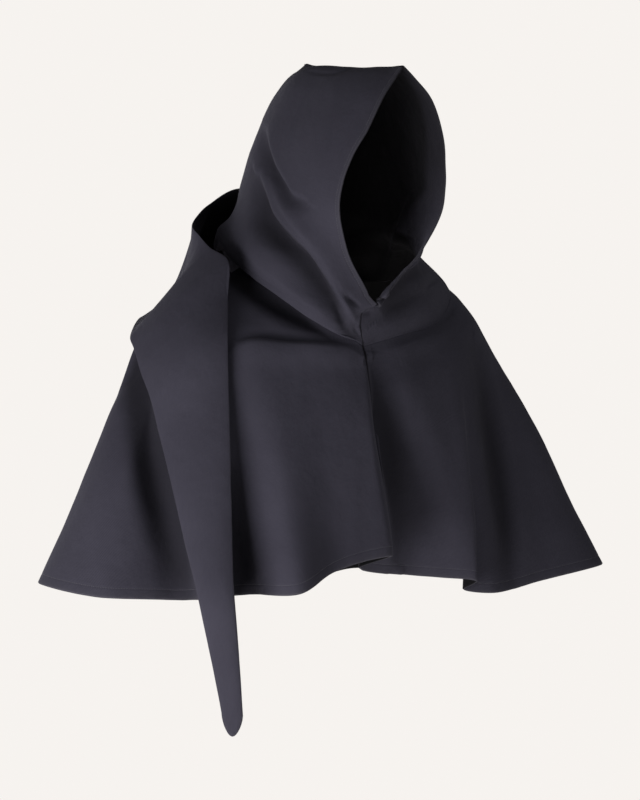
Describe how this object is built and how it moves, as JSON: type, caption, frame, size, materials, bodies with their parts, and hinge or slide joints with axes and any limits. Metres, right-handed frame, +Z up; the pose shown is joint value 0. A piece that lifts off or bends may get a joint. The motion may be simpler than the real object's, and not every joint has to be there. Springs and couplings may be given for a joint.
{
  "type": "medieval hood with shoulder cape and liripipe",
  "caption": "Worn cloth hood with a pointed face opening, a flared folded shoulder cape and a long flat tail round the neck and over the right shoulder.",
  "frame": {"origin": "top of the wearer's head, where the crown of the hood bears", "axes": "+Z up, -Y the way the wearer faces, -X the wearer's right"},
  "size_m": [0.8063, 0.5081, 0.8768],
  "materials": {
    "twill": "matte heavy cotton twill, dark blue-black"
  },
  "bodies": {
    "root": {"hood_right": "twill", "hood_left": "twill", "cape_right": "twill", "cape_left": "twill", "liripipe": "twill"}
  },
  "joints": []
}
